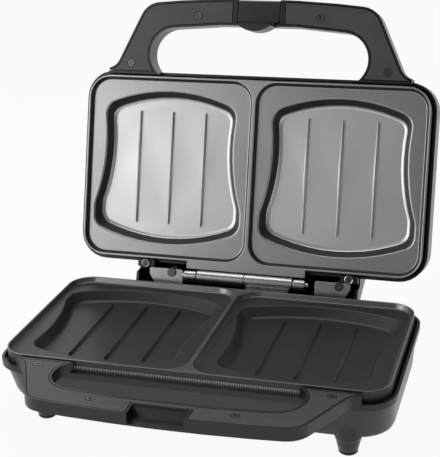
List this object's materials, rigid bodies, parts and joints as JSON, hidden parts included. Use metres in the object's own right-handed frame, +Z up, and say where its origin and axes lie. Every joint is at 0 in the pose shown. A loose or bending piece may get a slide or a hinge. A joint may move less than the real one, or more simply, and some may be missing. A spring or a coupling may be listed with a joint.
{
  "type": "sandwich toaster",
  "caption": "Countertop sandwich toaster with deep twin plates, a hinged lid folded open, open loop handles, a rocking latch and a boxed base on feet.",
  "frame": {"origin": "centre of the bounding box in plan, at the height of the foot pads' undersides", "axes": "+X along the hinge to the right as seen from the front, +Y to the rear, +Z up; the lid is folded open"},
  "size_m": [0.289, 0.3064, 0.2716],
  "materials": {
    "housing": "fine satin black moulding",
    "handle_cover": "matte charcoal moulding",
    "plate_coating": "cast, dark non-stick coating with a satin sheen",
    "element_steel": "heat-darkened tube",
    "reflector": "bright sheet",
    "ceramic": "unglazed",
    "rubber": "matte",
    "red_lens": "translucent red",
    "green_lens": "translucent green",
    "lamp_glass": "clear",
    "latch": "satin black moulding",
    "rivet": "black oxide",
    "steel": "zinc plated"
  },
  "bodies": {
    "base": {"base_housing": "housing", "base_handle": "housing", "base_handle_cover": "handle_cover", "base_handle_screws": "steel", "base_plate": "plate_coating", "base_plate_screws": "steel", "base_heater": "element_steel", "base_heater_clamps": "steel", "base_reflector": "reflector", "thermostat": "ceramic", "thermal_fuse": "ceramic", "terminal_block": "ceramic", "cord_bush": "rubber", "feet": "housing", "foot_pads": "rubber", "base_hinge_leaf": "steel", "base_hinge_screws": "steel", "hinge_pin": "steel", "hinge_collars": "steel"},
    "lid": {"lid_housing": "housing", "lid_cover_left": "handle_cover", "lid_cover_right": "handle_cover", "lid_handle_screws": "steel", "lid_plate": "plate_coating", "lid_plate_screws": "steel", "lid_heater": "element_steel", "lid_heater_clamps": "steel", "lid_reflector": "reflector", "lid_hinge_leaf": "steel", "lid_hinge_screws": "steel", "lid_straps": "steel", "strap_rivets": "rivet", "lid_ear_screws": "steel", "power_lens": "red_lens", "ready_lens": "green_lens", "pilot_lamps": "lamp_glass", "latch_pin": "steel", "latch_spring": "steel"},
    "latch": {"latch_lever": "latch"}
  },
  "joints": [
    {"name": "lid_hinge", "type": "hinge", "parent": "base", "child": "lid", "pos_m": [0, 0.07038, 0.0569], "axis": [1, 0, 0], "range_deg": [0, 106.3]},
    {"name": "latch_rock", "type": "hinge", "parent": "lid", "child": "latch", "pos_m": [0, 0.13218, 0.26075], "axis": [1, 0, 0], "range_deg": [0, 14], "stiffness_Nm_per_rad": 0.04, "springref_deg": -17.19}
  ]
}
